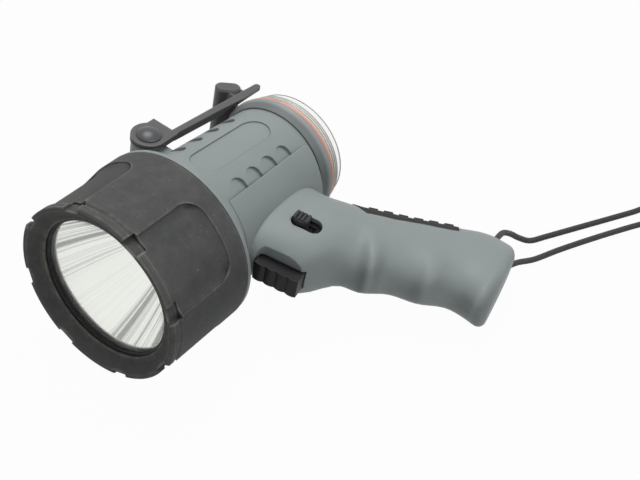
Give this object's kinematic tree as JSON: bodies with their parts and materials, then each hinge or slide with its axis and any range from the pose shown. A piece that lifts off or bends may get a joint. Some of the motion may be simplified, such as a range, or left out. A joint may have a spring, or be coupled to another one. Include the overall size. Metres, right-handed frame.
{
  "type": "handheld searchlight",
  "caption": "Pistol-grip LED searchlight with a lugged rubber bezel guard, moulded clamshell body, push trigger, lock slider, screw tail cap, folding stand and wrist cord.",
  "frame": {"origin": "On the floor under the middle of the box round the light without its cord, as it lies on its right side.", "axes": "+X: the way the lens faces, along the floor. +Y: from the barrel towards the butt of the grip. +Z: up, towards the left side of the light."},
  "size_m": [0.2728, 0.2482, 0.1012],
  "materials": {
    "guard_rubber": "worn matt rubber",
    "black_plastic": "fine moulded grain",
    "clear_lens": "clear and polished",
    "black_rubber": "matt",
    "bright_reflector": "vapour-metallised",
    "led_phosphor": "silicone dome over phosphor",
    "white_board": "white solder mask",
    "bare_aluminium": "turned",
    "green_board": "green solder mask",
    "grey_plastic": "fine moulded grain, satin",
    "steel": "plain",
    "collar_plastic": "satin",
    "orange_rubber": "smooth",
    "clear_cap": "frosted clear plastic",
    "cell_jacket": "plain jacket",
    "contact_metal": "plain",
    "red_plastic": "plain",
    "slider_plastic": "fine ribs",
    "cap_plastic": "satin dome",
    "cord_braid": "round braid"
  },
  "bodies": {
    "housing": {"bezel_guard": "guard_rubber", "lens_ring": "black_plastic", "lens": "clear_lens", "lens_seal": "black_rubber", "reflector": "bright_reflector", "led_emitter": "led_phosphor", "led_board": "white_board", "heat_sink": "bare_aluminium", "driver_board": "green_board", "front_collar": "grey_plastic", "body_left_shell": "grey_plastic", "body_right_shell": "grey_plastic", "shell_screws": "steel", "tail_collar": "collar_plastic", "battery_carrier": "black_plastic", "battery_cells": "cell_jacket", "battery_contacts": "contact_metal", "trigger_spring": "steel", "switch_block": "black_plastic", "slider_track": "black_plastic", "grip_pad": "black_rubber", "stand_pin": "steel", "pivot_caps": "cap_plastic", "wrist_cord": "cord_braid"},
    "trigger": {"trigger": "black_plastic"},
    "switch_plunger": {"switch_plunger": "red_plastic"},
    "lock_slider": {"lock_slider": "slider_plastic"},
    "stand": {"stand_bail": "black_plastic"},
    "cap_seal": {"tail_oring": "orange_rubber"},
    "tail_cap": {"tail_cap": "clear_cap"}
  },
  "joints": [
    {"name": "trigger_slide", "type": "slide", "parent": "housing", "child": "trigger", "axis": [-0.9816, -0.155, -0.1119], "range_m": [0, 0.004], "stiffness_N_per_m": 500, "springref_m": -0.002, "deforming": ["trigger_spring"]},
    {"name": "plunger_slide", "type": "slide", "parent": "housing", "child": "switch_plunger", "axis": [-0.9816, -0.155, -0.1119], "range_m": [0, 0.0012]},
    {"name": "lock_slide", "type": "slide", "parent": "housing", "child": "lock_slider", "axis": [-0.1369, 0.9785, -0.1543], "range_m": [0, 0.006]},
    {"name": "stand_hinge", "type": "hinge", "parent": "housing", "child": "stand", "pos_m": [-0.00674, -0.08779, 0.04879], "axis": [-0.1334, 0.1361, 0.9817], "range_deg": [0, 110]},
    {"name": "cap_lift", "type": "slide", "parent": "housing", "child": "cap_seal", "axis": [-0.9909, 0, -0.1347], "range_m": [0, 0.0045]},
    {"name": "cap_turn", "type": "hinge", "parent": "cap_seal", "child": "tail_cap", "pos_m": [-0.06983, -0.0437, 0.0341], "axis": [-0.9909, 0, -0.1347], "range_deg": [0, 540]}
  ],
  "couplings": [
    {"joint": "plunger_slide", "follows": "trigger_slide", "ratio": 0.3},
    {"joint": "cap_lift", "follows": "cap_turn", "m_per_rad": 0.00047746}
  ]
}
